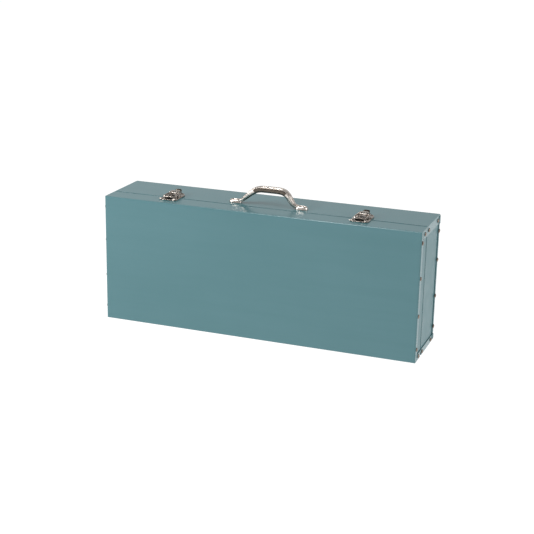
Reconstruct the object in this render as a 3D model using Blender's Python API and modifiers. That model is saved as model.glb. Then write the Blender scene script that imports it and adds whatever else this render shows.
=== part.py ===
"""Slim sheet-steel carrying case, standing on its long narrow edge, with two cantilever trays inside.

Metres, +Z up. X runs along the length, the lid faces -Y, and the origin is on the floor under the middle
of the case. The lid is hinged along the bottom and opens forward, the trays follow it on parallel arms.
"""

import math

import bmesh
import bpy
from mathutils import Matrix, Vector

# Driving dimensions.
LENGTH = 0.500
DEPTH = 0.114
HEIGHT = 0.198
SHEET = 0.0009
GAP = 0.0003
BEND = 0.002
LID_DEPTH = 0.0345

FRONT = -DEPTH / 2
BACK = DEPTH / 2
PARTING = FRONT + LID_DEPTH
HALF = LENGTH / 2
STEP = SHEET + GAP  # an inner sheet lies this far inside the outer one

# Flanges that fold over the end panels.
FRONT_FLANGE = 0.010
BACK_FLANGE = 0.007
TOP_FLANGE = 0.0135
BOTTOM_FLANGE = 0.0095
CORNER_SLIT = 0.001
OVERRUN = 0.0005  # a slit or tab runs this far past the flange edge that it meets
LIP_REACH = 0.004  # the lid's lip tucks this far under the body's top
TAB_WIDTH = 0.0085
TAB_INSET = 0.0022
TABS = (
    ("top", HEIGHT - TOP_FLANGE - OVERRUN, HEIGHT - TAB_INSET),
    ("bottom", TAB_INSET, BOTTOM_FLANGE - OVERRUN),
)

# Piano hinge under the parting line.
HINGE_Z = 0.0022
KNUCKLE = 0.002
KNUCKLE_BORE = 0.001
HINGE_PIN = 0.0007
HINGE_HALF = 0.240
HINGE_RELIEF = 0.0036
LEAF = 0.014
NECK_INSET = 0.00005
KNUCKLES = 11

# Rivets on each end: (distance from the front face, height).
RIVET_SHANK = 0.0015
RIVET_HEAD = 0.0029
RIVET_RISE = 0.0015
RIVET_TAIL = (0.0007, 0.0021)
LID_RIVETS = (
    (0.0052, 0.181), (0.0052, 0.128), (0.0052, 0.071), (0.0052, 0.020), (0.019, 0.1908), (0.019, 0.0050),
)
BODY_RIVETS = (
    (0.1086, 0.173), (0.1086, 0.128), (0.1086, 0.071), (0.1086, 0.022),
    (0.041, 0.1912), (0.097, 0.1912), (0.041, 0.0048), (0.095, 0.0048),
)

# Handle.
HANDLE_Y = FRONT + 0.050
HANDLE_WIDTH = 0.013
HANDLE_FOOT = 0.062
HANDLE_FIX = 0.0530
HANDLE_RISE = 0.0290
HANDLE_LEAN = 0.09
HANDLE_HOLE = 0.0023
HANDLE_SHANK = 0.002
HANDLE_HEAD = 0.0036
HANDLE_WASHER = 0.0042
FOOT_THICK = 0.0054

# Draw latches.
LATCH_X = 0.1515
LATCH_HALF = 0.0142
PLATE = 0.001
LEVER_PIVOT = (FRONT + 0.041, HEIGHT + 0.0062)
LOOP_PIVOT = (FRONT + 0.047, HEIGHT + 0.0052)
LOOP_REACH = 0.0265
LOOP_WIRE = 0.0010
LOOP_HALF = 0.0092

# Trays and their arms.
TRAY_SHEET = 0.0008
TRAY_HALVES = {"upper": 0.240, "lower": 0.239}
TRAY_LOW, TRAY_HIGH = 0.034, 0.188
TRAY_DEPTH = 0.025
TRAY_FRONTS = {"upper": PARTING + 0.0015, "lower": PARTING + 0.031}
ARM = 0.080
ARM_TILT = math.radians(12)
ARM_WIDTH = 0.010
ARM_X = (0.2425, 0.2440)
ARM_FEET = {"rear": (0.024, 0.035), "front": (0.024, 0.100)}
STUD = 0.002
BORE_GAP = 0.0003

TEAL = (0.115, 0.235, 0.255, 1)
NICKEL = (0.62, 0.58, 0.53, 1)
ZINC = (0.55, 0.56, 0.57, 1)
GREY = (0.30, 0.33, 0.34, 1)


def clear_scene():
    for obj in list(bpy.data.objects):
        bpy.data.objects.remove(obj)


def new_collection(name):
    made = bpy.data.collections.new(name)
    bpy.context.scene.collection.children.link(made)
    return made


clear_scene()
parts = new_collection("carrying_case")
cutters = new_collection("cutters")
cutters.hide_render = True


def material(name, colour, roughness, metallic):
    made = bpy.data.materials.new(name)
    made.use_nodes = True
    shader = made.node_tree.nodes["Principled BSDF"]
    shader.inputs["Base Color"].default_value = colour
    shader.inputs["Roughness"].default_value = roughness
    shader.inputs["Metallic"].default_value = metallic
    return made


def add(name, mesh, collection, location=(0, 0, 0)):
    obj = bpy.data.objects.new(name, mesh)
    obj.location = location
    collection.objects.link(obj)
    if collection is cutters:
        obj.hide_render = True
        obj.display_type = "WIRE"
    return obj


def mesh_from(bm, name):
    mesh = bpy.data.meshes.new(name)
    bm.to_mesh(mesh)
    bm.free()
    return mesh


def finish(obj, colour, roughness=0.3, metallic=0.0, smooth=35):
    """The part's own material, with round surfaces shaded smooth."""
    obj.data.materials.clear()
    obj.data.materials.append(material(obj.name, colour, roughness, metallic))
    obj.data.shade_smooth()
    obj.data.set_sharp_from_angle(angle=math.radians(smooth))
    return obj


def block(name, low, high, collection=parts, radius=0.0, rounded=None, segments=3):
    """A box between two corners. rounded(middle, direction) picks the edges that get the radius."""
    low, high = Vector(low), Vector(high)
    bm = bmesh.new()
    bmesh.ops.create_cube(bm, size=1)
    bmesh.ops.scale(bm, vec=high - low, verts=bm.verts)
    if radius:
        chosen = []
        for edge in bm.edges:
            a, b = (vert.co for vert in edge.verts)
            if rounded is None or rounded((a + b) / 2, (b - a).normalized()):
                chosen.append(edge)
        bmesh.ops.bevel(bm, geom=chosen, offset=radius, segments=segments, affect="EDGES", profile=0.5)
    return add(name, mesh_from(bm, name), collection, (low + high) / 2)


def rod(name, low_x, high_x, y, z, radius, collection=parts, sides=16):
    """A cylinder along X."""
    bm = bmesh.new()
    bmesh.ops.create_cone(
        bm, cap_ends=True, segments=sides, radius1=radius, radius2=radius, depth=high_x - low_x,
        matrix=Matrix.Rotation(math.pi / 2, 4, "Y"),
    )
    return add(name, mesh_from(bm, name), collection, ((low_x + high_x) / 2, y, z))


def turned(name, profile, x, y, z, direction="X", flip=1, collection=parts, sides=16):
    """A turned piece: profile lists (distance along its axis, radius) from one end to the other."""
    points = [(0.0, profile[0][0])] + [(r, a) for a, r in profile] + [(0.0, profile[-1][0])]
    bm = bmesh.new()
    rings = []
    for radius, along in points:
        if radius == 0.0:
            rings.append([bm.verts.new((0, 0, along))])
        else:
            turn = [2 * math.pi * i / sides for i in range(sides)]
            rings.append([bm.verts.new((radius * math.cos(t), radius * math.sin(t), along)) for t in turn])
    for first, second in zip(rings, rings[1:]):
        for i in range(sides):
            j = (i + 1) % sides
            ring = [first[i % len(first)], first[j % len(first)]]
            ring += [second[j % len(second)], second[i % len(second)]]
            bm.faces.new(list(dict.fromkeys(ring)))
    bmesh.ops.recalc_face_normals(bm, faces=bm.faces)
    if direction == "X":
        bmesh.ops.rotate(bm, verts=bm.verts, matrix=Matrix.Rotation(flip * math.pi / 2, 3, "Y"))
    return add(name, mesh_from(bm, name), collection, (x, y, z))


def combine(obj, other, operation):
    modifier = obj.modifiers.new(operation.lower(), "BOOLEAN")
    modifier.operation = operation
    modifier.object = other
    modifier.solver = "EXACT"
    return obj


def cut(obj, *others):
    for other in others:
        combine(obj, other, "DIFFERENCE")
    return obj


def join(obj, *others):
    for other in others:
        combine(obj, other, "UNION")
    return obj


def around_front(middle, direction):
    """The edges around a shell's closed face at -Y."""
    return middle.y < 0 and abs(direction.y) < 0.5


def around_back(middle, direction):
    return middle.y > 0 and abs(direction.y) < 0.5


def along_x(_, direction):
    return abs(direction.x) > 0.5


def along_y(_, direction):
    return abs(direction.y) > 0.5


# ---------------------------------------------------------------- case shells

def rivet_holes(name, places):
    """Cutters for the rivet holes of both ends, each right through the case."""
    return [
        rod(f"{name}_{i}", -HALF - 0.01, HALF + 0.01, FRONT + y, z, RIVET_SHANK + BORE_GAP, cutters, 8)
        for i, (y, z) in enumerate(places)
    ]


lid_holes = rivet_holes("lid_rivet_hole", LID_RIVETS)
body_holes = rivet_holes("body_rivet_hole", BODY_RIVETS)
hinge_relief = block(
    "hinge_relief",
    (-HALF - 0.01, PARTING - HINGE_RELIEF, -0.001),
    (HALF + 0.01, PARTING + HINGE_RELIEF, HINGE_Z + HINGE_RELIEF),
    cutters,
)


def end_flanges(shell, name, window_low, window_high, slits):
    """Opens the shell's end walls down to their flanges, with a slit where two flanges meet."""
    window = block(f"{name}_window", (-HALF - 0.01, *window_low), (HALF + 0.01, *window_high), cutters)
    cut(shell, window)
    for i, (low, high) in enumerate(slits):
        for side in (-1, 1):
            x = sorted((side * (HALF - 0.006), side * (HALF + 0.01)))
            cut(shell, block(f"{name}_slit_{i}_{side}", (x[0], *low), (x[1], *high), cutters))


def lid_shell():
    shell = block(
        "lid_shell", (-HALF, FRONT, 0), (HALF, PARTING - GAP, HEIGHT),
        radius=BEND, rounded=around_front,
    )
    hollow = block(
        "lid_hollow",
        (-HALF + SHEET, FRONT + SHEET, SHEET),
        (HALF - SHEET, PARTING + 0.01, HEIGHT - SHEET),
        cutters, radius=BEND - SHEET, rounded=around_front,
    )
    cut(shell, hollow)
    lip_half = HALF - 2 * STEP - SHEET
    lip_top = HEIGHT - SHEET - GAP
    lip = block(
        "lid_lip",
        (-lip_half, PARTING - 0.006, lip_top - SHEET), (lip_half, PARTING + LIP_REACH, lip_top), cutters,
    )
    riser = block(
        "lid_lip_riser",
        (-lip_half + OVERRUN, PARTING - 0.0055, lip_top - OVERRUN),
        (lip_half - OVERRUN, PARTING - 0.0025, HEIGHT - SHEET + 0.0004), cutters,
    )
    join(lip, riser)
    join(shell, lip)
    corner = FRONT + FRONT_FLANGE
    end_flanges(
        shell, "lid", (corner, BOTTOM_FLANGE), (PARTING + 0.01, HEIGHT - TOP_FLANGE),
        (
            ((corner - CORNER_SLIT, HEIGHT - TOP_FLANGE - OVERRUN), (corner + GAP, HEIGHT - BEND)),
            ((corner - CORNER_SLIT, BEND), (corner + GAP, BOTTOM_FLANGE + OVERRUN)),
        ),
    )
    cut(shell, hinge_relief, *lid_holes)
    return finish(shell, TEAL)


def body_shell():
    shell = block(
        "body_shell", (-HALF, PARTING + GAP, 0), (HALF, BACK, HEIGHT), radius=BEND, rounded=around_back,
    )
    hollow = block(
        "body_hollow",
        (-HALF + SHEET, PARTING - 0.01, SHEET), (HALF - SHEET, BACK - SHEET, HEIGHT - SHEET),
        cutters, radius=BEND - SHEET, rounded=around_back,
    )
    cut(shell, hollow)
    corner = BACK - BACK_FLANGE
    end_flanges(
        shell, "body", (PARTING - 0.01, BOTTOM_FLANGE), (corner, HEIGHT - TOP_FLANGE), (),
    )
    for side in (-1, 1):
        for place, low, high in TABS:
            x = sorted((side * (HALF - 0.0004), side * (HALF + SHEET)))
            tab = block(
                f"tab_{place}_{side}", (x[0], BACK - TAB_WIDTH, low), (x[1], BACK - TAB_INSET, high), cutters,
            )
            join(shell, tab)
    cut(shell, hinge_relief, *body_holes)
    for side in (-1, 1):
        cut(shell, handle_hole(f"handle_hole_{side}", side))
    return finish(shell, TEAL)


def handle_hole(name, side):
    """A cutter along Z through a handle foot and the top of the body."""
    bm = bmesh.new()
    bmesh.ops.create_cone(
        bm, cap_ends=True, segments=12, radius1=HANDLE_HOLE, radius2=HANDLE_HOLE, depth=0.03,
    )
    return add(name, mesh_from(bm, name), cutters, (side * HANDLE_FIX, HANDLE_Y, HEIGHT + 0.005))


def end_panel(name, outside, side, low, high, holes):
    """A flat end panel inside the flanges, with its holes for the rivets."""
    x = sorted((side * (outside - STEP - SHEET), side * (outside - STEP)))
    panel = block(name, (x[0], *low), (x[1], *high), radius=BEND - SHEET, rounded=along_x, segments=2)
    cut(panel, hinge_relief, *holes)
    return finish(panel, TEAL)


def rivet(name, side, outside, y, z):
    """A domed rivet whose tail is set against the inside of the end panel."""
    tail = -2 * SHEET - 2 * GAP
    profile = [(tail - RIVET_TAIL[0], RIVET_TAIL[1]), (tail, RIVET_TAIL[1]), (tail, RIVET_SHANK), (GAP, RIVET_SHANK)]
    profile += [(GAP + RIVET_RISE * math.sin(t), RIVET_HEAD * math.cos(t)) for t in (0.0, 0.5, 1.0)]
    made = turned(name, profile, side * outside, FRONT + y, z, "X", side, sides=8)
    return finish(made, NICKEL, 0.25, 1.0, 60)


SIDES = {"left": -1, "right": 1}
lid_parts = [lid_shell()]
body_parts = [body_shell()]
for side_name, side in SIDES.items():
    lid_parts.append(end_panel(
        f"lid_end_{side_name}", HALF, side,
        (FRONT + STEP + GAP, STEP), (PARTING - GAP, HEIGHT - STEP), lid_holes,
    ))
    body_parts.append(end_panel(
        f"body_end_{side_name}", HALF, side,
        (PARTING + GAP, STEP), (BACK - STEP - GAP, HEIGHT - STEP), body_holes,
    ))
    for i, (y, z) in enumerate(LID_RIVETS, 1):
        lid_parts.append(rivet(f"lid_rivet_{side_name}_{i}", side, HALF, y, z))
    for i, (y, z) in enumerate(BODY_RIVETS, 1):
        body_parts.append(rivet(f"body_rivet_{side_name}_{i}", side, HALF, y, z))


# ---------------------------------------------------------------- piano hinge

def hinge_leaf(name, side, leaf_z, parity):
    """A leaf with every second knuckle. side is -1 for the lid's leaf and 1 for the body's."""
    pitch = 2 * HINGE_HALF / KNUCKLES
    edge = PARTING + side * (HINGE_RELIEF + 0.0002)
    y = sorted((edge, PARTING + side * LEAF))
    leaf = block(name, (-HINGE_HALF, y[0], leaf_z), (HINGE_HALF, y[1], leaf_z + SHEET))
    for i in range(parity, KNUCKLES, 2):
        low = -HINGE_HALF + i * pitch + GAP
        high = low + pitch - 2 * GAP
        neck_y = sorted((PARTING + side * (KNUCKLE_BORE + 0.0004), edge + side * 0.001))
        neck = block(
            f"{name}_neck_{i}",
            (low, neck_y[0], leaf_z + NECK_INSET), (high, neck_y[1], leaf_z + SHEET - NECK_INSET), cutters,
        )
        barrel = rod(f"{name}_barrel_{i}", low, high, PARTING, HINGE_Z, KNUCKLE, cutters, 12)
        join(leaf, neck, barrel)
    cut(leaf, rod(f"{name}_bore", -HALF, HALF, PARTING, HINGE_Z, KNUCKLE_BORE, cutters, 10))
    return finish(leaf, ZINC, 0.3, 1.0)


lid_parts.append(hinge_leaf("hinge_leaf_lid", -1, STEP, 1))
body_parts.append(hinge_leaf("hinge_leaf_body", 1, STEP, 0))
pin_half = HINGE_HALF - OVERRUN
hinge_pin = rod("hinge_pin", -pin_half, pin_half, PARTING, HINGE_Z, HINGE_PIN, sides=10)
body_parts.append(finish(hinge_pin, ZINC, 0.3, 1.0))


# ---------------------------------------------------------------- handle

def handle():
    """A stamped case handle: two flat feet, sloping legs and a straight grip."""
    base = HEIGHT + GAP
    flat = FOOT_THICK - GAP
    outer = [
        (HANDLE_FOOT, 0), (HANDLE_FOOT - 0.001, 0.003), (0.0575, flat), (0.0485, flat), (0.0452, 0.0066),
        (0.0385, 0.0130), (0.0331, 0.0185), (0.0285, 0.0232), (0.0235, 0.0268), (0.0170, HANDLE_RISE),
    ]
    inner = [(0.0120, 0.0195), (0.0185, 0.0182), (0.0235, 0.0158), (0.0285, 0.0122), (0.0400, 0)]
    outline = outer + [(-x, z) for x, z in reversed(outer)]
    outline += [(-x, z) for x, z in reversed(inner)] + inner
    outline = [(x + HANDLE_LEAN * z, z) for x, z in outline]
    bm = bmesh.new()
    verts = [bm.verts.new((x, -HANDLE_WIDTH / 2, z)) for x, z in outline]
    face = bm.faces.new(verts)
    swept = bmesh.ops.extrude_face_region(bm, geom=[face])
    bmesh.ops.translate(
        bm, vec=(0, HANDLE_WIDTH, 0), verts=[v for v in swept["geom"] if isinstance(v, bmesh.types.BMVert)],
    )
    bmesh.ops.recalc_face_normals(bm, faces=bm.faces)
    made = add("handle", mesh_from(bm, "handle"), parts, (0, HANDLE_Y, base))
    soften = made.modifiers.new("soften", "BEVEL")
    soften.width = 0.0022
    soften.segments = 2
    soften.limit_method = "ANGLE"
    soften.angle_limit = math.radians(60)
    for side in (-1, 1):
        cut(made, handle_hole(f"foot_hole_{side}", side))
    return finish(made, NICKEL, 0.25, 1.0)


def handle_rivet(name, side):
    """A rivet through a handle foot and the top of the body, with a washer-like tail inside."""
    top = GAP + FOOT_THICK
    under = -SHEET - GAP
    profile = [
        (under - 0.0012, HANDLE_WASHER), (under, HANDLE_WASHER), (under, HANDLE_SHANK), (top, HANDLE_SHANK),
        (top, HANDLE_HEAD), (top + 0.0009, 0.003), (top + 0.0014, 0.0014),
    ]
    made = turned(name, profile, side * HANDLE_FIX, HANDLE_Y, HEIGHT, "Z", sides=12)
    return finish(made, NICKEL, 0.25, 1.0, 60)


body_parts.append(handle())
for side_name, side in SIDES.items():
    body_parts.append(handle_rivet(f"handle_rivet_{side_name}", side))


# ---------------------------------------------------------------- draw latches

def plate_front(middle, direction):
    return abs(direction.z) > 0.5 and middle.y < 0


def plate_back(middle, direction):
    return abs(direction.z) > 0.5 and middle.y > 0


def upper_along_x(middle, direction):
    return along_x(middle, direction) and middle.z > 0


def lower_along_x(middle, direction):
    return along_x(middle, direction) and middle.z < 0


def keeper(name, x):
    """The plate on the lid, with a raised catch that is open to the front."""
    z = HEIGHT + GAP
    plate = block(
        name, (x - LATCH_HALF, FRONT + 0.0155, z), (x + LATCH_HALF, PARTING - 0.001, z + PLATE),
        radius=0.004, rounded=plate_front,
    )
    catch = block(
        f"{name}_catch",
        (x - 0.007, FRONT + 0.0225, z + 0.0004), (x + 0.007, FRONT + 0.032, z + 0.0033), cutters,
        radius=0.0012, rounded=lambda middle, direction: along_y(middle, direction) and middle.z > 0, segments=2,
    )
    void = block(
        f"{name}_void",
        (x - 0.0058, FRONT + 0.0215, z + PLATE), (x + 0.0058, FRONT + 0.0308, z + 0.0025), cutters,
    )
    join(plate, catch)
    cut(plate, void)
    return finish(plate, NICKEL, 0.25, 1.0)


def latch_base(name, x):
    """The plate on the body, with two cheeks that hold the lever's pin."""
    z = HEIGHT + GAP
    plate = block(
        name, (x - LATCH_HALF, PARTING + 0.0012, z), (x + LATCH_HALF, FRONT + 0.0595, z + PLATE),
        radius=0.013, rounded=plate_back, segments=6,
    )
    for side in (-1, 1):
        cheek_x = sorted((x + side * 0.0038, x + side * 0.0050))
        cheek = block(
            f"{name}_cheek_{side}",
            (cheek_x[0], FRONT + 0.0390, z + 0.0004), (cheek_x[1], FRONT + 0.0440, HEIGHT + 0.0082),
            cutters, radius=0.002, rounded=upper_along_x, segments=2,
        )
        join(plate, cheek)
    cut(plate, rod(f"{name}_bore", x - 0.01, x + 0.01, *LEVER_PIVOT, 0.0013, cutters, 10))
    return finish(plate, NICKEL, 0.25, 1.0)


def latch_lever(name, x):
    """A bent strip with a thumb tab, and two side flanges on the pin."""
    path = [
        (0.0413, 0.0095), (0.0440, 0.0095), (0.0475, 0.0089), (0.0515, 0.0068), (0.0540, 0.0056),
        (0.0562, 0.0058), (0.0578, 0.0078),
    ]
    bm = bmesh.new()
    rows = [[bm.verts.new((side * 0.0072, FRONT + y, HEIGHT + z)) for side in (-1, 1)] for y, z in path]
    for (a, b), (c, d) in zip(rows, rows[1:]):
        bm.faces.new((a, b, d, c))
    bmesh.ops.recalc_face_normals(bm, faces=bm.faces)
    lever = add(name, mesh_from(bm, name), parts, (x, 0, 0))
    thick = lever.modifiers.new("thickness", "SOLIDIFY")
    thick.thickness = 0.0011
    thick.offset = 0
    for side in (-1, 1):
        flange_x = sorted((x + side * 0.0060, x + side * 0.0071))
        flange = block(
            f"{name}_flange_{side}",
            (flange_x[0], FRONT + 0.0390, HEIGHT + 0.0023), (flange_x[1], FRONT + 0.0500, HEIGHT + 0.0088),
            cutters, radius=0.002, rounded=lower_along_x, segments=2,
        )
        join(lever, flange)
    cut(
        lever,
        rod(f"{name}_bore", x - 0.02, x + 0.02, *LEVER_PIVOT, 0.0013, cutters, 10),
        rod(f"{name}_loop_bore", x - 0.02, x + 0.02, *LOOP_PIVOT, LOOP_WIRE + BORE_GAP, cutters, 10),
    )
    return finish(lever, NICKEL, 0.25, 1.0)


def latch_loop(name, x):
    """A wire loop whose ends turn in to pivot in the lever's flanges."""
    y, z = LOOP_PIVOT
    corner = 0.003
    bend = [(math.sin(a), 1 - math.cos(a)) for a in (0.0, math.pi / 6, math.pi / 3, math.pi / 2)]
    half = [(0.0056, 0.0)]
    half += [(LOOP_HALF - 0.0015 + 0.0015 * s, -0.0015 * c) for s, c in bend]
    half += [(LOOP_HALF - corner * c, -LOOP_REACH + corner - corner * s) for s, c in bend]
    route = [(-px, py) for px, py in half] + [(px, py) for px, py in reversed(half)]
    curve = bpy.data.curves.new(name, "CURVE")
    curve.dimensions = "3D"
    curve.bevel_depth = LOOP_WIRE
    curve.bevel_resolution = 2
    curve.use_fill_caps = True
    spline = curve.splines.new("POLY")
    spline.points.add(len(route) - 1)
    for point, (px, py) in zip(spline.points, route):
        point.co = (px, py, 0, 1)
    loop = bpy.data.objects.new(name, curve)
    loop.location = (x, y, z)
    parts.objects.link(loop)
    curve.materials.append(material(name, NICKEL, 0.25, 1.0))
    return loop


def latch_pin(name, x):
    return finish(rod(name, x - 0.0078, x + 0.0078, *LEVER_PIVOT, 0.001, sides=10), NICKEL, 0.25, 1.0)


latches = {}
for side_name, side in SIDES.items():
    centre = side * LATCH_X
    lid_parts.append(keeper(f"latch_keeper_{side_name}", centre))
    body_parts.append(latch_base(f"latch_base_{side_name}", centre))
    body_parts.append(latch_pin(f"latch_pin_{side_name}", centre))
    latches[side_name] = (
        latch_lever(f"latch_lever_{side_name}", centre), latch_loop(f"latch_loop_{side_name}", centre),
    )


# ---------------------------------------------------------------- trays and arms

def arm_point(foot, share):
    """A point along an arm at rest, from its foot."""
    y, z = foot
    return (y - ARM * share * math.sin(ARM_TILT), z + ARM * share * math.cos(ARM_TILT))


def swing_arm(name, side, foot):
    """A flat bar with round ends and a hole for each of its three pivots."""
    x = [side * value for value in ARM_X]
    low_x, high_x = min(x), max(x)
    y, z = foot
    half = ARM_WIDTH / 2
    bar = block(
        name, (low_x, y - half, z - half), (high_x, y + half, z + ARM + half),
        radius=half * 0.96, rounded=along_x, segments=5,
    )
    centre = Vector(((low_x + high_x) / 2, *arm_point(foot, 0.5)))
    bar.location = centre
    bar.rotation_euler = (ARM_TILT, 0, 0)
    for share in (0, 0.5, 1):
        hole = rod(
            f"{name}_hole_{share}", low_x - 0.005, high_x + 0.005, *arm_point(foot, share),
            STUD + BORE_GAP, cutters, 12,
        )
        cut(bar, hole)
    return finish(bar, ZINC, 0.3, 1.0)


def arm_pivot(name, side, foot):
    """A shouldered pivot that stands off the end panel and carries an arm's foot."""
    wall = HALF - STEP - SHEET - GAP
    head, inner, outer = (x - wall for x in (ARM_X[0] - 0.0009, ARM_X[0] - GAP, ARM_X[1] + GAP))
    profile = [
        (head, 0.0036), (inner, 0.0036), (inner, STUD), (outer, STUD), (outer, 0.004), (0, 0.004),
    ]
    return finish(turned(name, profile, side * wall, *foot, "X", side, sides=12), ZINC, 0.3, 1.0)


def tray(name, level, share, columns, rows):
    """An open tray pressed into compartments, with the studs that its arms carry it by."""
    front = TRAY_FRONTS[level]
    half = TRAY_HALVES[level]
    pan = block(
        name, (-half, front, TRAY_LOW), (half, front + TRAY_DEPTH, TRAY_HIGH),
        radius=0.003, rounded=along_y, segments=2,
    )
    wide = (2 * half - TRAY_SHEET) / columns
    tall = (TRAY_HIGH - TRAY_LOW - TRAY_SHEET) / rows
    for i in range(columns):
        for j in range(rows):
            x = -half + TRAY_SHEET + i * wide
            z = TRAY_LOW + TRAY_SHEET + j * tall
            cut(pan, block(
                f"{name}_cell_{i}_{j}", (x, front - 0.01, z),
                (x + wide - TRAY_SHEET, front + TRAY_DEPTH - TRAY_SHEET, z + tall - TRAY_SHEET), cutters,
                radius=0.0022, rounded=along_y, segments=2,
            ))
    for side in (-1, 1):
        for place, foot in ARM_FEET.items():
            y, z = arm_point(foot, share)
            if y + 0.004 > front + TRAY_DEPTH:
                x = sorted((side * (half - 0.0004), side * (half + 0.0012)))
                join(pan, block(
                    f"{name}_lug_{place}_{side}",
                    (x[0], y - 0.013, z - 0.006), (x[1], y + 0.004, z + 0.006), cutters,
                    radius=0.003, rounded=along_x, segments=2,
                ))
            start = half - 0.0004
            neck = ARM_X[1] + GAP - start
            profile = [(0, STUD), (neck, STUD), (neck, 0.0031), (neck + 0.0008, 0.0031)]
            stud = turned(f"{name}_stud_{place}_{side}", profile, side * start, y, z, "X", side, cutters, 12)
            join(pan, stud)
    return finish(pan, GREY, 0.35, 0.0)


arms = {}
for place, foot in ARM_FEET.items():
    arms[place] = [swing_arm(f"arm_{place}_{side_name}", side, foot) for side_name, side in SIDES.items()]
    for side_name, side in SIDES.items():
        body_parts.append(arm_pivot(f"arm_pivot_{place}_{side_name}", side, foot))
upper_tray = tray("upper_tray", "upper", 1.0, 3, 2)
lower_tray = tray("lower_tray", "lower", 0.5, 2, 1)


# ---------------------------------------------------------------- joint axes

def axis_empty(name, x, y, z, children):
    """An empty on a joint's axis that carries the pieces turning about it."""
    empty = bpy.data.objects.new(name, None)
    empty.empty_display_size = 0.01
    empty.location = (x, y, z)
    parts.objects.link(empty)
    bpy.context.view_layer.update()
    for child in children:
        child.parent = empty
        child.matrix_parent_inverse = empty.matrix_world.inverted()
    return empty


axis_empty("lid_axis", 0, PARTING, HINGE_Z, lid_parts)
for side_name, side in SIDES.items():
    lever, loop = latches[side_name]
    axis_empty(f"lever_axis_{side_name}", side * LATCH_X, *LEVER_PIVOT, [lever])
    axis_empty(f"loop_axis_{side_name}", side * LATCH_X, *LOOP_PIVOT, [loop])
for place, foot in ARM_FEET.items():
    axis_empty(f"arm_axis_{place}", 0, *foot, arms[place])
axis_empty("upper_tray_axis", 0, *arm_point(ARM_FEET["rear"], 1.0), [upper_tray])
axis_empty("lower_tray_axis", 0, *arm_point(ARM_FEET["rear"], 0.5), [lower_tray])
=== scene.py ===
"""Looks for the slim steel carrying case: enamel, nickel fittings, trays, studio, camera. Metres, +Z up."""

import math

import bmesh
import bpy
from mathutils import Matrix, Vector

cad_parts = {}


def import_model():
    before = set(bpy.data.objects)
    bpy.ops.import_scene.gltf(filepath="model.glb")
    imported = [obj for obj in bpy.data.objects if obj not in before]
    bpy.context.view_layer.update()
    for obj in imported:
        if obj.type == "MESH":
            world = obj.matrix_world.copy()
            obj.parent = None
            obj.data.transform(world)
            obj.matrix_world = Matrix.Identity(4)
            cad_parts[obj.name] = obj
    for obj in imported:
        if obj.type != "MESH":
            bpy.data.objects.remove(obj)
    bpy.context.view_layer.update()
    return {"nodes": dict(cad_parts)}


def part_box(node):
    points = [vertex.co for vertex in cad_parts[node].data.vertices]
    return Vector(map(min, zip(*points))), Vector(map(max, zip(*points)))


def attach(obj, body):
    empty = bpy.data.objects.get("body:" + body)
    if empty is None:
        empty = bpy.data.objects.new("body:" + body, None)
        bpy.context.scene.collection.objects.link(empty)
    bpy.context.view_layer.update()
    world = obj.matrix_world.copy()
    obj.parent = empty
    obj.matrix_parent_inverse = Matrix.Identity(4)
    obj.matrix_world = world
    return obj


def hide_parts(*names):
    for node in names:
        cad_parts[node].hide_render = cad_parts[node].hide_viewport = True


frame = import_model()
nodes = frame["nodes"]
SIDES = {"left": -1, "right": 1}
MM = 0.001
bpy.context.scene.view_settings.view_transform = "Standard"


# ---------------------------------------------------------------- materials

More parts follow.
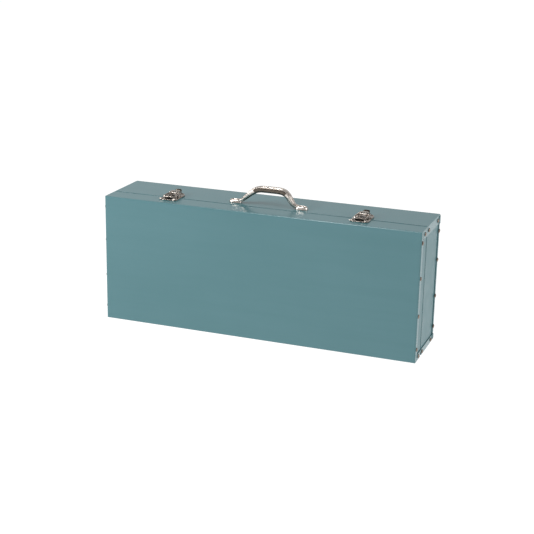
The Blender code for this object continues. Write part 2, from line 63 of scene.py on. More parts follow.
class Nodes:
    """A material being built: most calls add one node and return its output."""

    def __init__(self, name):
        self.made = bpy.data.materials.new(name)
        self.made.use_nodes = True
        self.tree = self.made.node_tree
        self.shader = self.tree.nodes["Principled BSDF"]
        coords = self.tree.nodes.new("ShaderNodeTexCoord")
        self.place = coords.outputs["Object"]

    def link(self, out, into):
        self.tree.links.new(out, into)

    def stretched(self, scale):
        node = self.tree.nodes.new("ShaderNodeMapping")
        node.inputs["Scale"].default_value = scale
        self.link(self.place, node.inputs["Vector"])
        return node.outputs["Vector"]

    def noise(self, scale, detail=3.0, roughness=0.5, vector=None):
        node = self.tree.nodes.new("ShaderNodeTexNoise")
        node.inputs["Scale"].default_value = scale
        node.inputs["Detail"].default_value = detail
        node.inputs["Roughness"].default_value = roughness
        self.link(vector or self.place, node.inputs["Vector"])
        return node.outputs["Fac"]

    def cells(self, scale):
        node = self.tree.nodes.new("ShaderNodeTexVoronoi")
        node.inputs["Scale"].default_value = scale
        self.link(self.place, node.inputs["Vector"])
        return node.outputs["Distance"]

    def span(self, value, low, high, to_low, to_high, smooth=False):
        node = self.tree.nodes.new("ShaderNodeMapRange")
        node.interpolation_type = "SMOOTHSTEP" if smooth else "LINEAR"
        limits = {"From Min": low, "From Max": high, "To Min": to_low, "To Max": to_high}
        for key, number in limits.items():
            node.inputs[key].default_value = number
        self.link(value, node.inputs["Value"])
        return node.outputs["Result"]

    def math(self, operation, a, b):
        node = self.tree.nodes.new("ShaderNodeMath")
        node.operation = operation
        for socket, value in zip(node.inputs, (a, b)):
            if isinstance(value, (int, float)):
                socket.default_value = value
            else:
                self.link(value, socket)
        return node.outputs["Value"]

    def mix(self, factor, a, b):
        node = self.tree.nodes.new("ShaderNodeMix")
        node.data_type = "RGBA"
        self.link(factor, node.inputs[0])
        for socket, value in zip((node.inputs[6], node.inputs[7]), (a, b)):
            if isinstance(value, tuple):
                socket.default_value = (*value, 1.0)
            else:
                self.link(value, socket)
        return node.outputs[2]

    def bump(self, height, strength, distance, under=None):
        node = self.tree.nodes.new("ShaderNodeBump")
        node.inputs["Strength"].default_value = strength
        node.inputs["Distance"].default_value = distance
        self.link(height, node.inputs["Height"])
        if under is not None:
            self.link(under, node.inputs["Normal"])
        return node.outputs["Normal"]

    def finish(self, colour, roughness, normal, **fixed):
        for key, value in (("Base Color", colour), ("Roughness", roughness), ("Normal", normal)):
            if isinstance(value, (int, float)):
                self.shader.inputs[key].default_value = value
            else:
                self.link(value, self.shader.inputs[key])
        for key, value in fixed.items():
            self.shader.inputs[key.replace("_", " ")].default_value = value
        return self.made


# The enamel from its darker patches to its lighter streaks.
ENAMEL_SHADES = ((0.071, 0.177, 0.196), (0.076, 0.184, 0.204), (0.082, 0.193, 0.214))
ENAMEL_SPECK = (0.035, 0.095, 0.105)


def enamel(name, dull, level):
    """Stoved enamel on sheet steel: faint streaks, orange peel, and a slow waviness of the sheet."""
    n = Nodes(name)
    deep, middle, pale = ENAMEL_SHADES
    cloud = n.span(n.noise(7.0, 4.0), 0.3, 0.7, 0.0, 1.0)
    streak = n.span(n.noise(1.0, 4.0, 0.5, n.stretched((5.0, 25.0, 60.0))), 0.3, 0.7, 0.0, 1.0)
    colour = n.mix(cloud, deep, middle)
    light = n.mix(cloud, middle, pale)
    colour = n.mix(streak, colour, light)
    speck = n.span(n.noise(900.0, 2.0), 0.72, 0.80, 0.0, 0.35, True)
    colour = n.mix(speck, colour, ENAMEL_SPECK)
    rough = n.span(n.noise(45.0, 5.0, 0.65), 0.3, 0.75, dull, dull + 0.08)
    wave = n.bump(n.noise(5.0, 1.0), 0.08, 0.004)
    peel = n.bump(n.noise(650.0, 2.0), 0.08, 0.0001, wave)
    return n.finish(colour, rough, peel, Specular_IOR_Level=level)


def nickel(name, bright, dull, grain):
    """Worn nickel plate: warm, a little tarnished, with fine handling scratches and soft dents."""
    n = Nodes(name)
    tarnish = n.span(n.noise(240.0, 5.0, 0.6), 0.42, 0.72, 0.0, 1.0, True)
    patch = n.span(n.noise(900.0, 3.0, 0.6), 0.45, 0.75, 0.0, 0.6, True)
    colour = n.mix(n.math("MAXIMUM", n.math("MULTIPLY", tarnish, 0.55), patch), bright, dull)
    rough = n.span(n.noise(420.0, 5.0, 0.6), 0.3, 0.75, 0.12, 0.34)
    dents = n.bump(n.noise(190.0, 2.0), 0.35 * grain, 0.0009)
    fine = n.bump(n.noise(1.0, 4.0, 0.7, n.stretched((500.0, 2600.0, 2600.0))), 0.25 * grain, 0.0001, dents)
    return n.finish(colour, rough, fine, Metallic=1.0)


def zinc():
    """Bright zinc plate with rolled-sheet brushing and a few dull clouds."""
    n = Nodes("zinc_plate")
    cloud = n.span(n.noise(60.0, 4.0), 0.3, 0.7, 0.0, 1.0)
    colour = n.mix(cloud, (0.56, 0.58, 0.60), (0.42, 0.43, 0.44))
    rough = n.span(n.noise(1.0, 4.0, 0.6, n.stretched((30.0, 900.0, 900.0))), 0.3, 0.7, 0.24, 0.42)
    brushed = n.bump(n.noise(1.0, 4.0, 0.6, n.stretched((60.0, 2400.0, 2400.0))), 0.3, 0.0001)
    return n.finish(colour, rough, brushed, Metallic=1.0)


def tray_paint():
    """Grey hammered enamel: small raised cells, with painted light and shade that makes them lighter on their
    tops and darker towards their edges.
    """
    n = Nodes("tray_enamel")
    cell = n.span(n.cells(420.0), 0.0, 0.75, 0.0, 1.0)
    cloud = n.span(n.noise(12.0, 3.0), 0.3, 0.7, 0.0, 1.0)
    base = n.mix(cloud, (0.19, 0.225, 0.235), (0.23, 0.265, 0.275))
    # Painted shade: the colour darkens towards each cell's edge, following the relief.
    colour = n.mix(n.math("MULTIPLY", cell, 0.5), base, (0.12, 0.145, 0.15))
    rough = n.span(n.noise(80.0, 4.0), 0.3, 0.7, 0.28, 0.42)
    hammered = n.bump(cell, 0.25, 0.0003)
    return n.finish(colour, rough, hammered, Metallic=0.25, Coat_Weight=0.25, Coat_Roughness=0.2)


def painted_shade_recess():
    """Painted shade: near-black colour with faint patches for the bottom of a slot and the inside of a catch,
    where shade falls.
    """
    n = Nodes("painted_shade_recess")
    patch = n.span(n.noise(600.0, 4.0), 0.35, 0.7, 0.0, 1.0)
    colour = n.mix(patch, (0.010, 0.009, 0.008), (0.035, 0.028, 0.022))
    rough = n.span(n.noise(900.0, 3.0), 0.3, 0.7, 0.55, 0.85)
    return n.finish(colour, rough, n.bump(n.noise(1500.0, 3.0), 0.5, 0.0002))


ENAMEL = enamel("case_enamel", 0.19, 0.42)
END_ENAMEL = enamel("end_enamel", 0.34, 0.3)
NICKEL = nickel("nickel_plate", (0.82, 0.75, 0.69), (0.17, 0.135, 0.11), 1.0)
# Near-black nickel for the handle: painted shade in its grooves and underneath, painted dark reflection on
# the grip's side panels.
SHADED_NICKEL = nickel("nickel_painted_shade_and_reflection", (0.14, 0.12, 0.10), (0.04, 0.033, 0.027), 2.0)
# Near-black nickel for the latches' thumb tabs: painted dark reflection.
PAINTED_DARK_TAB = nickel("thumb_tab_painted_reflection", (0.075, 0.065, 0.052), (0.03, 0.026, 0.02), 1.0)
PLATE = nickel("nickel_on_plates", (0.50, 0.455, 0.415), (0.08, 0.066, 0.054), 1.4)
RIVET = nickel("rivet_nickel", (0.26, 0.21, 0.175), (0.06, 0.048, 0.038), 0.6)
ZINC = zinc()
TRAY = tray_paint()
# Near-black painted shade for the handle's foot slots and the insides of the latch catches.
PAINTED_SHADE = painted_shade_recess()


# ---------------------------------------------------------------- mesh helpers

def piece(name, bm, materials, body, slot, *replaced, smooth=40):
    """A detailed piece that rides on a body and stands for the CAD nodes named."""
    bmesh.ops.remove_doubles(bm, verts=bm.verts, dist=1e-6)
    bmesh.ops.recalc_face_normals(bm, faces=bm.faces)
    mesh = bpy.data.meshes.new(name)
    bm.to_mesh(mesh)
    bm.free()
    for made in materials:
        mesh.materials.append(made)
    mesh.shade_smooth()
    mesh.set_sharp_from_angle(angle=math.radians(smooth))
    obj = bpy.data.objects.new(name, mesh)
    bpy.context.scene.collection.objects.link(obj)
    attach(obj, body)
    if replaced:
        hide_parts(*replaced)


def skin(bm, rings, material=0, wrap=True, caps=True):
    """Faces between successive rings of vertices, capped at both ends if asked.

    The material is one slot number, or a list of them with one for each face round a ring.
    """
    for a, b in zip(rings, rings[1:]):
        count = len(a)
        for i in range(count if wrap else count - 1):
            j = (i + 1) % count
            quad = list(dict.fromkeys((a[i], a[j], b[j], b[i])))
            if len(quad) > 2:
                face = bm.faces.new(quad)
                face.material_index = material[i] if isinstance(material, list) else material
    if caps and wrap:
        for ring in (rings[0], rings[-1]):
            if len(set(ring)) > 2:
                bm.faces.new(ring).material_index = 0 if isinstance(material, list) else material


def lathe(bm, profile, centre, axis, sides):
    """Turns (distance along the axis, radius) points round a line through centre."""
    turn = Vector((0, 0, 1)).rotation_difference(Vector(axis)).to_matrix()
    rings = []
    for along, radius in profile:
        ring = []
        for i in range(sides):
            t = 2 * math.pi * i / sides
            reach = max(radius, 1e-6)
            point = Vector((reach * math.cos(t), reach * math.sin(t), along))
            ring.append(bm.verts.new(Vector(centre) + turn @ point))
        rings.append(ring)
    skin(bm, rings)


def dome(base, rise, radius, turns):
    """(distance, radius) points over a round head, at the given turns from its rim in radians."""
    return [(base + rise * math.sin(t), radius * math.cos(t)) for t in turns]


def tangent_at(path, i):
    """The direction of a path at its point number i."""
    return (path[min(i + 1, len(path) - 1)] - path[max(i - 1, 0)]).normalized()


def smooth_path(points, steps):
    """Catmull-Rom points through the given ones."""
    padded = [points[0], *points, points[-1]]
    out = []
    for i in range(1, len(padded) - 2):
        a, b, c, d = (Vector(p) for p in padded[i - 1:i + 3])
        for k in range(steps):
            t = k / steps
            out.append(0.5 * (2 * b + (c - a) * t + (2 * a - 5 * b + 4 * c - d) * t * t
                              + (3 * b - a - 3 * c + d) * t * t * t))
    out.append(Vector(points[-1]))
    return out


def rounded_outline(low, high, radii, steps=6):
    """A rectangle with its own radius at each corner, from front-left by way of front-right."""
    corners = ((low[0], low[1], 180), (high[0], low[1], 270), (high[0], high[1], 0), (low[0], high[1], 90))
    out = []
    for (x, y, start), radius in zip(corners, radii):
        cx = x + (radius if x == low[0] else -radius)
        cy = y + (radius if y == low[1] else -radius)
        for k in range(steps + 1):
            t = math.radians(start + 90 * k / steps)
            out.append(Vector((cx + radius * math.cos(t), cy + radius * math.sin(t))))
    return out


def inset(outline, distance):
    """The outline moved inwards by the distance."""
    count = len(outline)
    moved = []
    for i, point in enumerate(outline):
        before, after = outline[i - 1], outline[(i + 1) % count]
        tangent = after - before
        if tangent.length < 1e-9:
            moved.append(point.copy())
            continue
        tangent.normalize()
        moved.append(point + Vector((-tangent.y, tangent.x)) * distance)
    return moved


def plate(bm, outline, low_z, high_z, edge=0.00035, material=0):
    """A flat plate with softened edges."""
    levels = (
        (low_z, edge), (low_z + edge, 0.0),
        (high_z - edge, 0.0), (high_z - edge * 0.3, edge * 0.3), (high_z, edge),
    )
    rings = []
    for z, step in levels:
        ring = [bm.verts.new((p.x, p.y, z)) for p in (inset(outline, step) if step else outline)]
        rings.append(ring)
    skin(bm, rings, material=material)


def box(bm, low, high, edge, material=0):
    """A box with softened edges, built as a plate."""
    outline = rounded_outline(low[:2], high[:2], (edge,) * 4, 3)
    plate(bm, outline, low[2], high[2], edge * 0.8, material)


# ---------------------------------------------------------------- enamelled sheets, hinge, arms and trays

def soften(name, width):
    """Rounds a CAD node's edges a little."""
    modifier = nodes[name].modifiers.new("edges", "BEVEL")
    modifier.width = width
    modifier.segments = 2
    modifier.limit_method = "ANGLE"
    modifier.angle_limit = math.radians(40)


def coat(name, made):
    """Gives a CAD node its material."""
    nodes[name].data.materials.clear()
    nodes[name].data.materials.append(made)


for part in ("lid", "body"):
    coat(f"{part}_shell", ENAMEL)
    soften(f"{part}_shell", 0.00040)
    for side_name in SIDES:
        coat(f"{part}_end_{side_name}", END_ENAMEL)
        soften(f"{part}_end_{side_name}", 0.00040)
for name in ("upper_tray", "lower_tray"):
    coat(name, TRAY)
    soften(name, 0.00025)
for name in nodes:
    if name.startswith(("hinge_", "arm_")):
        coat(name, ZINC)
    if name.startswith(("arm_front", "arm_rear")):
        soften(name, 0.0002)


# ---------------------------------------------------------------- the edge of the body at the joint

EDGE_PROUD = 0.0004
END_PROUD = 0.0005
EDGE_ROUND = 0.0003


def joint_edge():
    """The body's edge, which stands a little proud of the lid along the joint."""
    low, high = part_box("body_shell")
    y, top = low.y, high.z
    bm = bmesh.new()
    box(bm, (low.x + 0.003, y, top - EDGE_PROUD), (high.x - 0.003, y + 0.0026, top + EDGE_PROUD), EDGE_ROUND)
    for side_name, side in SIDES.items():
        end_low, end_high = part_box(f"body_end_{side_name}")
        x = end_high.x if side > 0 else end_low.x
        box(bm, (x - END_PROUD, y, low.z + 0.008), (x + END_PROUD, y + 0.0022, top - 0.008), EDGE_ROUND)
    piece("joint_edge", bm, [ENAMEL], "case_body", "case_enamel", smooth=60)


joint_edge()


# ---------------------------------------------------------------- rivets on the ends

def end_rivet(node, side, body):
    """A low round head with a flat rim, drawn down on the sheet."""
    low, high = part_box(node)
    centre = (low + high) / 2
    face = (high.x if side > 0 else low.x) - side * 0.0015
    bm = bmesh.new()
    profile = [
        (-0.0040, 0.0), (-0.0040, 0.0020), (-0.0030, 0.0021), (-0.0029, 0.0014), (0.0, 0.0014), (0.0, 0.0029),
        (0.00025, 0.0031),
    ]
    profile += dome(0.00025, 0.00155, 0.0031, (0.25, 0.5, 0.75, 1.0, 1.25, 1.42))
    profile += [(0.0018, 0.0)]
    lathe(bm, profile, (face, centre.y, centre.z), (side, 0, 0), 24)
    piece(f"{node}_detail", bm, [RIVET], body, "nickel_plate", node, smooth=50)


for side_name, side in SIDES.items():
    for part, body, count in (("lid", "lid", 6), ("body", "case_body", 8)):
        for i in range(1, count + 1):
            end_rivet(f"{part}_rivet_{side_name}_{i}", side, body)


# ---------------------------------------------------------------- handle

handle_low, handle_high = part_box("handle")
HANDLE_Y = (handle_low.y + handle_high.y) / 2
TOP = handle_low.z
FOOT_X = 0.0530
SLOT_FLOOR = 0.0012

# The middle line of the strap, in millimetres. Its right leg is the steeper one.
HANDLE_LINE = (
    (-50.0, 3.2), (-45.4, 3.6), (-41.0, 5.6), (-35.5, 10.2), (-29.9, 15.2), (-24.5, 19.2), (-18.8, 22.6),
    (-12.0, 24.3), (-4.0, 24.6), (4.0, 24.6), (12.0, 24.6), (19.5, 24.3),
    (25.8, 22.6), (31.3, 18.4), (35.8, 11.8), (39.6, 6.4), (43.6, 4.2), (50.0, 3.2),
)
# Its width and thickness against the distance from the middle, in millimetres.
STRAP_WIDTHS = ((20, 13.0), (31, 12.0), (38, 10.6), (43, 9.4), (50, 9.0))
STRAP_THICKS = ((20, 9.4), (26, 9.0), (31, 8.0), (36.2, 7.2), (41, 5.6), (45.5, 4.4), (50, 4.0))
GRIP_ENDS = (-0.022, 0.028)  # where along X its side panels get nickel darkened as painted dark reflection

# Grooves round its section: where in degrees from the back, half-width in degrees, depth in millimetres.
GROOVES = ((113, 7, 0.85), (67, 7, 0.85), (147, 5, 0.50), (33, 5, 0.50), (212, 5, 0.50), (328, 5, 0.50))
PANEL_DEPTH = 0.25
AROUND = 72
# Slots for bright nickel, near-black painted shade, and nickel darkened as painted shade and dark reflection.
BRIGHT_SLOT, PAINTED_SHADE_SLOT, SHADED_NICKEL_SLOT = range(3)


def degrees_apart(angle, other):
    return (angle - other + 180) % 360 - 180


def on_panel(angle):
    """Whether an angle round the section is on one of its two sunk side panels."""
    return 152 < angle < 207 or angle > 333 or angle < 28


def takes_shaded_nickel(angle, panels):
    """Whether the face at an angle gets the darkened nickel of painted shade and dark reflection: grooves,
    underside, and the panels where asked.
    """
    grooved = any(abs(degrees_apart(angle, at)) < 4 for at, _, _ in GROOVES)
    return grooved or 215 < angle < 325 or (panels and on_panel(angle))


def section(width, thick):
    """A strap's section with beads along its shoulders, a sunk panel on each side and a flatter underside."""
    out = []
    for i in range(AROUND):
        angle = 360 * i / AROUND
        c, s = math.cos(math.radians(angle)), math.sin(math.radians(angle))
        y = width / 2 * math.copysign(abs(c) ** 0.55, c)
        u = thick / 2 * math.copysign(abs(s) ** 0.62, s)
        sunk = sum(depth * math.exp(-(degrees_apart(angle, at) / reach) ** 2) for at, reach, depth in GROOVES)
        if on_panel(angle):
            sunk += PANEL_DEPTH
        length = math.hypot(y, u)
        out.append((y - MM * sunk * y / length, u - MM * sunk * u / length))
    return out


def along_table(table, x):
    """Reads a value off (x, value) pairs, with straight lines between them."""
    for (x0, v0), (x1, v1) in zip(table, table[1:]):
        if x <= x1:
            return v0 + (v1 - v0) * max(x - x0, 0) / (x1 - x0)
    return table[-1][1]


def build_handle():
    """The stamped strap from foot to foot, with its two feet."""
    path = smooth_path([(x * MM, z * MM) for x, z in HANDLE_LINE], 6)
    bm = bmesh.new()
    rings = []
    for i, point in enumerate(path):
        tangent = tangent_at(path, i)
        normal = Vector((-tangent.y, tangent.x))
        reach = abs(point.x) / MM
        shape = section(along_table(STRAP_WIDTHS, reach) * MM, along_table(STRAP_THICKS, reach) * MM)
        rings.append([
            bm.verts.new((point.x + normal.x * u, HANDLE_Y + y, TOP + point.y + normal.y * u))
            for y, u in shape
        ])
    angles = [360 * (i + 0.5) / AROUND for i in range(AROUND)]
    # Grooves, underside and grip panels take the darkened nickel: painted shade and painted dark reflection.
    leg, grip = (
        [SHADED_NICKEL_SLOT if takes_shaded_nickel(angle, panels) else BRIGHT_SLOT for angle in angles] for panels in (False, True)
    )
    first, last = (next(i for i, point in enumerate(path) if point.x > end) for end in GRIP_ENDS)
    skin(bm, rings[:first + 1], leg, caps=False)
    skin(bm, rings[first:last + 1], grip, caps=False)
    skin(bm, rings[last:], leg, caps=False)
    bm.faces.new(rings[0])
    bm.faces.new(rings[-1])
    for side in SIDES.values():
        foot(bm, side)
    piece("handle_detail", bm, [NICKEL, PAINTED_SHADE, SHADED_NICKEL], "case_body", "nickel_plate", "handle", smooth=60)


def foot(bm, side):
    """A pressed oval foot: a domed rim round a slot whose faces get near-black painted shade either side of
    the rivet.
    """
    middle, straight, wide = side * FOOT_X, 0.0034, 0.0064
    rim_levels = (
        (1.0, 0.0), (1.0, 0.0007), (0.96, 0.0017), (0.90, 0.0028), (0.82, 0.0038), (0.73, 0.0044),
        (0.64, 0.0046), (0.56, 0.0045), (0.50, 0.0041), (0.46, 0.0034),
    )
    slot_levels = ((0.44, 0.0020), (0.40, SLOT_FLOOR), (0.0, SLOT_FLOOR))
    count = 56
    rings = []
    for share, z in rim_levels + slot_levels:
        ring = []
        for i in range(count):
            t = 2 * math.pi * i / count
            shift = math.copysign(straight, math.cos(t)) if abs(math.cos(t)) > 1e-6 else 0.0
            ring.append(bm.verts.new((
                middle + shift + share * wide * math.cos(t), HANDLE_Y + share * wide * math.sin(t), TOP + z,
            )))
        rings.append(ring)
    lip = len(rim_levels)
    skin(bm, rings[:lip], caps=False)
    # The slot's walls and floor take the near-black painted shade.
    skin(bm, rings[lip - 1:], material=PAINTED_SHADE_SLOT, caps=False)


def handle_rivet(side_name):
    """A round-headed rivet in the middle of the foot's slot."""
    node = f"handle_rivet_{side_name}"
    low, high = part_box(node)
    bm = bmesh.new()
    base = TOP + SLOT_FLOOR
    tail = low.z - base
    profile = [
        (tail, 0.0), (tail, 0.0038), (tail + 0.0009, 0.0042), (tail + 0.0012, 0.0020), (0.0, 0.0020),
        (0.0014, 0.0024), (0.0018, 0.0027),
    ]
    profile += dome(0.0018, 0.0013, 0.0027, (0.3, 0.6, 0.9, 1.2, 1.42))
    profile += [(0.0031, 0.0)]
    lathe(bm, profile, ((low.x + high.x) / 2, HANDLE_Y, base), (0, 0, 1), 28)
    piece(f"{node}_detail", bm, [NICKEL], "case_body", "nickel_plate", node)


build_handle()
for side_name in SIDES:
    handle_rivet(side_name)


# ---------------------------------------------------------------- draw latches

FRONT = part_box("lid_shell")[0].y
PLATE_RIVET = 0.0021
PLATE_CORNER = 0.0008
HOOD_RISE = 0.0031


def plate_rivet(bm, x, y, z):
    """A small domed rivet that holds a latch plate."""
    profile = [(0.0, PLATE_RIVET), (0.0003, PLATE_RIVET)]
    profile += dome(0.0003, 0.0009, PLATE_RIVET, (0.35, 0.7, 1.05, 1.35))
    profile += [(0.0012, 0.0)]
    lathe(bm, profile, (x, y, z), (0, 0, 1), 18)


def keeper(side_name):
    """The lid's plate: rolled ears at its front corners and a hooded catch whose inside is painted near-black
    shade.
    """
    node = f"latch_keeper_{side_name}"
    low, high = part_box(node)
    x = (low.x + high.x) / 2
    z = low.z
    bm = bmesh.new()
    corners = (0.004, 0.004, PLATE_CORNER, PLATE_CORNER)
    plate(bm, rounded_outline((low.x, low.y), (high.x, high.y), corners), z, z + 0.001)
    half_ear = [(-0.0030, 0.0), (-0.0030, 0.0009), (-0.0026, 0.0013)]
    ear = half_ear + [(-along, radius) for along, radius in reversed(half_ear)]
    for side in SIDES.values():
        lathe(bm, ear, (x + side * 0.0107, low.y + 0.0019, z + 0.0014), (1, 0, 0), 18)
        plate_rivet(bm, x + side * 0.0108, low.y + 0.0085, z + 0.0009)
    hood(bm, x, FRONT + 0.0216, FRONT + 0.0322, z + 0.0006)
    # A near-black block of painted shade fills the catch's opening under the hood.
    catch_low = (x - 0.0056, FRONT + 0.0222, z + 0.0006)
    catch_high = (x + 0.0056, FRONT + 0.0300, z + 0.00125)
    box(bm, catch_low, catch_high, 0.0002, PAINTED_SHADE_SLOT)
    piece(f"{node}_detail", bm, [PLATE, PAINTED_SHADE], "lid", "nickel_plate", node, smooth=50)


def hood(bm, x, low_y, high_y, z):
    """An arched hood over the catch, open at its front and closed at its back."""
    outer_rises = (
        (low_y, 1.0), (low_y + 0.0006, 1.05), (low_y + 0.006, 1.05), (high_y - 0.0015, 0.85), (high_y, 0.05),
    )
    inner_rises = ((low_y, 0.84), (low_y + 0.007, 0.80))
    rings = [arch(bm, x, y, z, 0.0074, HOOD_RISE * rise) for y, rise in outer_rises]
    skin(bm, rings, wrap=False)
    # The hood's inner faces and its closed back take near-black painted shade.
    inner = [arch(bm, x, y, z, 0.0066, HOOD_RISE * rise) for y, rise in inner_rises]
    skin(bm, inner, wrap=False, material=PAINTED_SHADE_SLOT)
    for k in range(len(inner[0]) - 1):
        bm.faces.new((rings[0][k], rings[0][k + 1], inner[0][k + 1], inner[0][k]))
    bm.faces.new(inner[-1]).material_index = PAINTED_SHADE_SLOT


def arch(bm, x, y, z, half, rise):
    """Vertices over a flattened arch, from one foot to the other."""
    out = []
    for k in range(17):
        c, s = math.cos(math.pi * k / 16), max(math.sin(math.pi * k / 16), 0.0)
        out.append(bm.verts.new((x - half * math.copysign(abs(c) ** 0.6, c), y, z + rise * s ** 0.5)))
    return out


def latch_base(side_name):
    """The body's plate: turned-up rims round a rounded back, cheeks for the pin, and two rivets."""
    node = f"latch_base_{side_name}"
    low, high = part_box(node)
    x = (low.x + high.x) / 2
    z = low.z
    bm = bmesh.new()
    corners = (PLATE_CORNER, PLATE_CORNER, 0.013, 0.013)
    outline = rounded_outline((low.x, low.y), (high.x, high.y), corners, 10)
    steps = (
        (0.0003, 0.0), (0.0, 0.0004), (0.0, 0.0018), (0.0004, 0.0022), (0.0009, 0.0021), (0.0012, 0.0016),
        (0.0015, 0.0010), (0.0020, 0.0009),
    )
    rings = []
    for step, rise in steps:
        rings.append([bm.verts.new((p.x, p.y, z + rise * rim(p, low))) for p in inset(outline, step)])
    skin(bm, rings)
    for side in SIDES.values():
        cheek(bm, x + side * 0.0044, z)
        plate_rivet(bm, x + side * 0.0096, low.y + 0.0080, z + 0.0008)
    piece(f"{node}_detail", bm, [PLATE], "case_body", "nickel_plate", node, smooth=50)


def rim(point, low):
    """How much of the rim's height stands at a point: less than half along the front edge."""
    return 0.45 + 0.55 * min(max((point.y - low.y) / 0.006, 0.0), 1.0)


def cheek(bm, x, z):
    """One of the two upright cheeks that hold the pin, both pins being at the same place along Y and Z."""
    low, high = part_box("latch_pin_left")
    y_mid = (low.y + high.y) / 2
    top = (low.z + high.z) / 2
    outline = [(y_mid - 0.0024, z + 0.0004), (y_mid + 0.0034, z + 0.0004), (y_mid + 0.0026, top)]
    for t in (0.5, 1.0, 1.57, 2.1, 2.6):
        outline.append((y_mid + 0.0002 + 0.0022 * math.cos(t), top + 0.0020 * math.sin(t)))
    outline.append((y_mid - 0.0020, top))
    rings = [[bm.verts.new((x + dx, y, zz)) for y, zz in outline] for dx in (-0.0006, 0.0006)]
    skin(bm, rings)


# Places in the lever are (distance behind the case's front, height above its top).
LEVER_LINE = (
    (0.0414, 0.0082), (0.0440, 0.0085), (0.0472, 0.0082), (0.0505, 0.0071), (0.0530, 0.0059),
    (0.0549, 0.0055), (0.0563, 0.0060), (0.0572, 0.0074), (0.0575, 0.0088),
)
FLANGE_OUTLINE = (
    (0.0392, 0.0050), (0.0400, 0.0030), (0.0425, 0.0022), (0.0510, 0.0022), (0.0528, 0.0032),
    (0.0534, 0.0052), (0.0505, 0.0070), (0.0470, 0.0080), (0.0415, 0.0080), (0.0396, 0.0070),
)
LEVER_HALF = 0.0072
LEVER_SHEET = 0.001
FLANGE_SHEET = 0.0011
TAB_FROM = 0.70  # the share of its length at which the thumb tab begins
PAINTED_TAB_SLOT = 1


def lever(side_name):
    """A drawn lever with a raised spine, side flanges and a thumb tab that stands up at its back."""
    node = f"latch_lever_{side_name}"
    low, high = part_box(node)
    x = (low.x + high.x) / 2
    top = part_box("body_shell")[1].z
    line = smooth_path(LEVER_LINE, 5)
    across = [-1 + 2 * k / 16 for k in range(17)]
    bm = bmesh.new()
    rings = []
    for i, point in enumerate(line):
        share = i / (len(line) - 1)
        narrowed = min(max((share - 0.58) / 0.20, 0.0), 1.0)
        rounded = max((share - 0.84) / 0.16, 0.0)
        half = (LEVER_HALF - 0.0022 * narrowed) * math.sqrt(max(1 - rounded ** 2 * 0.85, 0.05))
        tangent = tangent_at(line, i)
        normal = Vector((-tangent.y, tangent.x))
        spine = 0.0005 * math.exp(-((share - 0.35) / 0.22) ** 2)
        over, under = [], []
        for k in across:
            lift = spine * math.exp(-(k / 0.42) ** 2) - 0.0007 * abs(k) ** 6
            for ring, offset in ((over, LEVER_SHEET / 2), (under, -LEVER_SHEET / 2)):
                at = point + normal * (offset + lift)
                ring.append(bm.verts.new((x + k * half, FRONT + at.x, top + at.y)))
        rings.append(over + list(reversed(under)))
    tab = int(len(rings) * TAB_FROM)
    skin(bm, rings[:tab + 1], caps=False)
    # The thumb tab's faces take the near-black nickel: painted dark reflection.
    skin(bm, rings[tab:], material=PAINTED_TAB_SLOT, caps=False)
    bm.faces.new(rings[0])
    bm.faces.new(rings[-1]).material_index = PAINTED_TAB_SLOT
    for side in SIDES.values():
        flange(bm, x + side * 0.00655, top)
    piece(f"{node}_detail", bm, [PLATE, PAINTED_DARK_TAB], f"lever_{side_name}", "nickel_plate", node, smooth=45)


def flange(bm, x, top):
    """One of the lever's two side walls."""
    rings = []
    for dx in (-FLANGE_SHEET / 2, FLANGE_SHEET / 2):
        rings.append([bm.verts.new((x + dx, FRONT + y, top + z)) for y, z in FLANGE_OUTLINE])
    skin(bm, rings)


def pin(side_name):
    """The lever's pivot pin, with a low head at each end."""
    node = f"latch_pin_{side_name}"
    low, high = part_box(node)
    half = (high.x - low.x) / 2
    head = [(-half - 0.0004, 0.0), (-half - 0.0003, 0.0009), (-half, 0.0013), (-half + 0.0006, 0.0013)]
    head.append((-half + 0.0006, 0.001))
    bm = bmesh.new()
    lathe(bm, head + [(-along, radius) for along, radius in reversed(head)], (low + high) / 2, (1, 0, 0), 16)
    piece(f"{node}_detail", bm, [NICKEL], "case_body", "nickel_plate", node)


for side_name in SIDES:
    keeper(side_name)
    latch_base(side_name)
    lever(side_name)
    pin(side_name)
    coat(f"latch_loop_{side_name}", PLATE)


# ---------------------------------------------------------------- floor, lights and camera

FLOOR_DROP = 0.125
FLOOR_REACH = 12
LIGHT_AIM = Vector((0, 0, 0.1))


def floor():
    """A pale, partly self-lit floor, low enough for the open lid to hang clear of it."""
    n = Nodes("studio_floor")
    patch = n.span(n.noise(3.0, 2.0), 0.3, 0.7, 0.0, 1.0)
    made = n.finish(
        n.mix(patch, (0.24, 0.24, 0.24), (0.26, 0.26, 0.26)), 0.9, n.bump(n.noise(40.0, 2.0), 0.02, 0.001),
        Specular_IOR_Level=0.1, Emission_Color=(1, 1, 1, 1), Emission_Strength=0.90,
    )
    bm = bmesh.new()
    bmesh.ops.create_grid(bm, x_segments=4, y_segments=4, size=FLOOR_REACH)
    mesh = bpy.data.meshes.new("studio_floor")
    bm.to_mesh(mesh)
    bm.free()
    mesh.materials.append(made)
    obj = bpy.data.objects.new("studio_floor", mesh)
    obj.location.z = -FLOOR_DROP
    bpy.context.scene.collection.objects.link(obj)


def soft_light(name, place, size, power):
    """A rectangular soft light, turned towards the middle of the case."""
    data = bpy.data.lights.new(name, "AREA")
    data.shape = "RECTANGLE"
    data.size, data.size_y = size
    data.energy = power
    obj = bpy.data.objects.new(name, data)
    obj.location = place
    obj.rotation_euler = (LIGHT_AIM - Vector(place)).to_track_quat("-Z", "Y").to_euler()
    bpy.context.scene.collection.objects.link(obj)


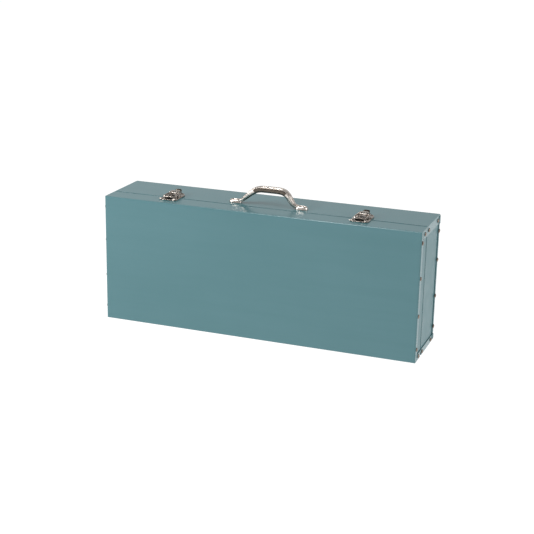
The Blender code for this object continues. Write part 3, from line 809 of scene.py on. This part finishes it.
def ramp(tree, value, stops):
    """A node giving a grey level from a value, through the (value, level) stops."""
    made = tree.nodes.new("ShaderNodeValToRGB")
    while len(made.color_ramp.elements) < len(stops):
        made.color_ramp.elements.new(0.5)
    for element, (at, level) in zip(made.color_ramp.elements, stops):
        element.position = at
        element.color = (level, level, level, 1)
    tree.links.new(value, made.inputs["Fac"])
    return made


def world():
    """A grey surround, paler at the horizon and round one direction behind the case."""
    made = bpy.data.worlds.new("studio")
    made.use_nodes = True
    tree = made.node_tree
    coords = tree.nodes.new("ShaderNodeTexCoord")
    split = tree.nodes.new("ShaderNodeSeparateXYZ")
    toward = tree.nodes.new("ShaderNodeVectorMath")
    toward.operation = "DOT_PRODUCT"
    toward.inputs[1].default_value = (-0.33, 0.895, 0.30)
    tree.links.new(coords.outputs["Generated"], split.inputs["Vector"])
    tree.links.new(coords.outputs["Generated"], toward.inputs[0])
    height = ramp(tree, split.outputs["Z"], ((0.0, 0.50), (0.25, 0.47), (0.50, 0.42), (1.0, 0.40)))
    card = ramp(tree, toward.outputs["Value"], ((0.0, 0.0), (0.70, 0.0), (0.88, 0.14), (1.0, 0.15)))
    both = tree.nodes.new("ShaderNodeVectorMath")
    tree.links.new(height.outputs["Color"], both.inputs[0])
    tree.links.new(card.outputs["Color"], both.inputs[1])
    tree.links.new(both.outputs["Vector"], tree.nodes["Background"].inputs["Color"])
    tree.nodes["Background"].inputs["Strength"].default_value = 1.0
    bpy.context.scene.world = made


def camera():
    """A long lens, right of the case's front and a little above it."""
    azimuth, elevation, roll = (math.radians(v) for v in (20.268, 17.408, 1.110))
    target, distance = Vector((-0.00279, 0.0, 0.09886)), 1.92301
    level = math.cos(elevation)
    back = Vector((math.sin(azimuth) * level, -math.cos(azimuth) * level, math.sin(elevation)))
    right = Vector((math.cos(azimuth), math.sin(azimuth), 0))
    up = back.cross(right)
    c, s = math.cos(roll), math.sin(roll)
    rolled_right, rolled_up = right * c + up * s, up * c - right * s
    data = bpy.data.cameras.new("camera")
    data.lens = 84.353
    data.sensor_width = 36
    data.clip_start, data.clip_end = 0.05, 60
    obj = bpy.data.objects.new("camera", data)
    turned = Matrix((rolled_right, rolled_up, back)).transposed().to_4x4()
    obj.matrix_world = Matrix.Translation(target + back * distance) @ turned
    bpy.context.scene.collection.objects.link(obj)
    bpy.context.scene.camera = obj


floor()
world()
soft_light("overhead", (-0.55, -0.75, 1.8), (0.3, 1.2), 15)
soft_light("fill_left", (-1.3, -1.1, 0.8), (0.6, 0.6), 16)
soft_light("side", (2.2, 0.3, 1.0), (1.0, 1.0), 13)
camera()
